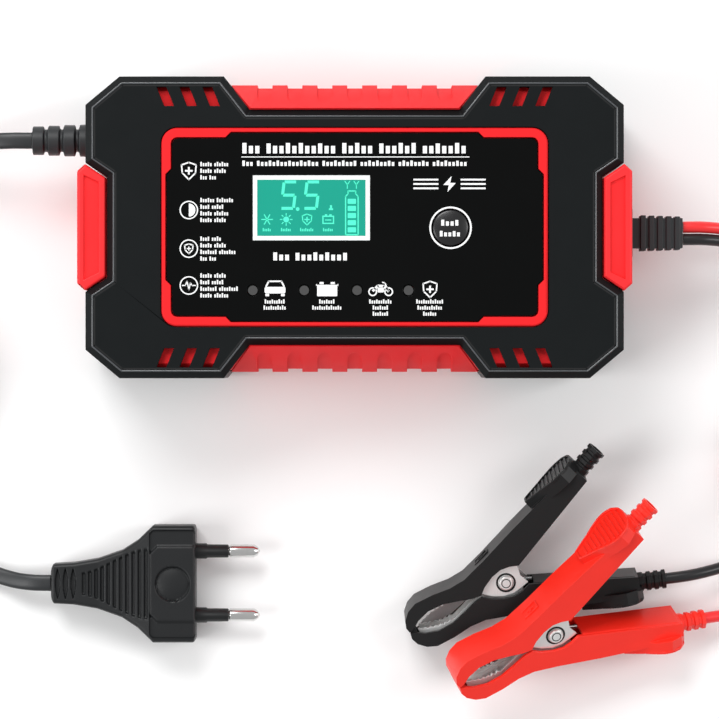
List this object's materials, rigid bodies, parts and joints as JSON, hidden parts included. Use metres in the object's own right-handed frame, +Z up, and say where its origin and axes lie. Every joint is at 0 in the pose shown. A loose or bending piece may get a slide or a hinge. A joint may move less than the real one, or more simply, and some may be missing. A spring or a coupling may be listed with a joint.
{
  "type": "car battery charger",
  "caption": "Small vehicle battery charger: black and red case with display and button, flat mains lead with a pin plug, and twin leads to spring battery clamps.",
  "frame": {"origin": "centre of the case at the level of the feet's undersides", "axes": "+X along the case towards the clamp leads, +Y across the panel towards the top of its writing, +Z up out of the panel"},
  "size_m": [0.359, 0.1815, 0.0456],
  "materials": {
    "armour_plastic": "satin moulded, near black",
    "shell_plastic": "satin moulded red",
    "bezel_plastic": "satin moulded bright red",
    "end_pad_plastic": "satin moulded red with a recessed face",
    "label_film": "glossy black film",
    "display_window": "clear window over a teal display",
    "button_plastic": "glossy black",
    "light_lens": "grey frosted lens, unlit",
    "screw_steel": "zinc plated",
    "foot_rubber": "matt black",
    "board_laminate": "green solder mask",
    "part_casing": "black moulded casing",
    "ferrite": "dark grey ferrite",
    "copper_wire": "enamelled copper",
    "heatsink_metal": "mill finish",
    "capacitor_can": "sleeved can",
    "gland_rubber": "matt black",
    "mains_cord": "satin black sheath",
    "plug_plastic": "satin black moulding",
    "pin_metal": "nickel plated, with a black sleeve",
    "red_lead": "glossy red sheath",
    "black_lead": "glossy black sheath",
    "lead_coil": "red and black sheaths",
    "red_boot": "satin red moulding",
    "black_boot": "satin black moulding",
    "jaw_steel": "bright nickel plate",
    "spring_steel": "bright wire"
  },
  "bodies": {
    "charger": {"top_armour": "armour_plastic", "bottom_armour": "armour_plastic", "upper_shell": "shell_plastic", "lower_shell": "shell_plastic", "left_end_pad": "end_pad_plastic", "right_end_pad": "end_pad_plastic", "bezel_frame": "bezel_plastic", "label_panel": "label_film", "lcd_module": "display_window", "tact_switch": "part_casing", "display_board": "board_laminate", "main_board": "board_laminate", "transformer_core": "ferrite", "transformer_winding": "copper_wire", "bulk_capacitor": "capacitor_can", "output_capacitor": "capacitor_can", "primary_heatsink": "heatsink_metal", "output_heatsink": "heatsink_metal", "switching_transistor": "part_casing", "output_diode": "part_casing", "mains_choke": "copper_wire", "mains_fuse": "part_casing", "mains_gland": "gland_rubber", "mains_cord_a": "mains_cord", "mains_coil": "mains_cord", "mains_cord_b": "mains_cord", "plug_body": "plug_plastic", "plug_pin_a": "pin_metal", "plug_pin_b": "pin_metal", "output_gland": "gland_rubber", "red_lead_a": "red_lead", "red_lead_b": "red_lead", "black_lead_a": "black_lead", "black_lead_b": "black_lead", "dc_coil": "lead_coil", "case_screw_1": "screw_steel", "foot_1": "foot_rubber", "status_light_1": "light_lens", "case_screw_2": "screw_steel", "foot_2": "foot_rubber", "status_light_2": "light_lens", "case_screw_3": "screw_steel", "foot_3": "foot_rubber", "status_light_3": "light_lens", "case_screw_4": "screw_steel", "foot_4": "foot_rubber", "status_light_4": "light_lens", "red_lower_handle": "red_boot", "red_lower_jaw": "jaw_steel", "red_rivet": "jaw_steel", "red_spring": "spring_steel", "black_lower_handle": "black_boot", "black_lower_jaw": "jaw_steel", "black_rivet": "jaw_steel", "black_spring": "spring_steel"},
    "mode_button": {"mode_button": "button_plastic"},
    "red_upper_half": {"red_upper_handle": "red_boot", "red_upper_jaw": "jaw_steel"},
    "black_upper_half": {"black_upper_handle": "black_boot", "black_upper_jaw": "jaw_steel"}
  },
  "joints": [
    {"name": "mode_button_press", "type": "slide", "parent": "charger", "child": "mode_button", "axis": [0, 0, -1], "range_m": [0, 0.0006], "stiffness_N_per_m": 2000},
    {"name": "red_clamp_open", "type": "hinge", "parent": "charger", "child": "red_upper_half", "pos_m": [0.0578, -0.1172, 0.0192], "axis": [-0.2577, 0.4295, -0.8655], "range_deg": [0, 18], "stiffness_Nm_per_rad": 0.6, "springref_deg": -28.65, "deforming": ["red_spring"]},
    {"name": "black_clamp_open", "type": "hinge", "parent": "charger", "child": "black_upper_half", "pos_m": [0.0446, -0.1032, 0.0096], "axis": [-0.0183, 0.2056, -0.9785], "range_deg": [0, 18], "stiffness_Nm_per_rad": 0.6, "springref_deg": -28.65, "deforming": ["black_spring"]}
  ]
}
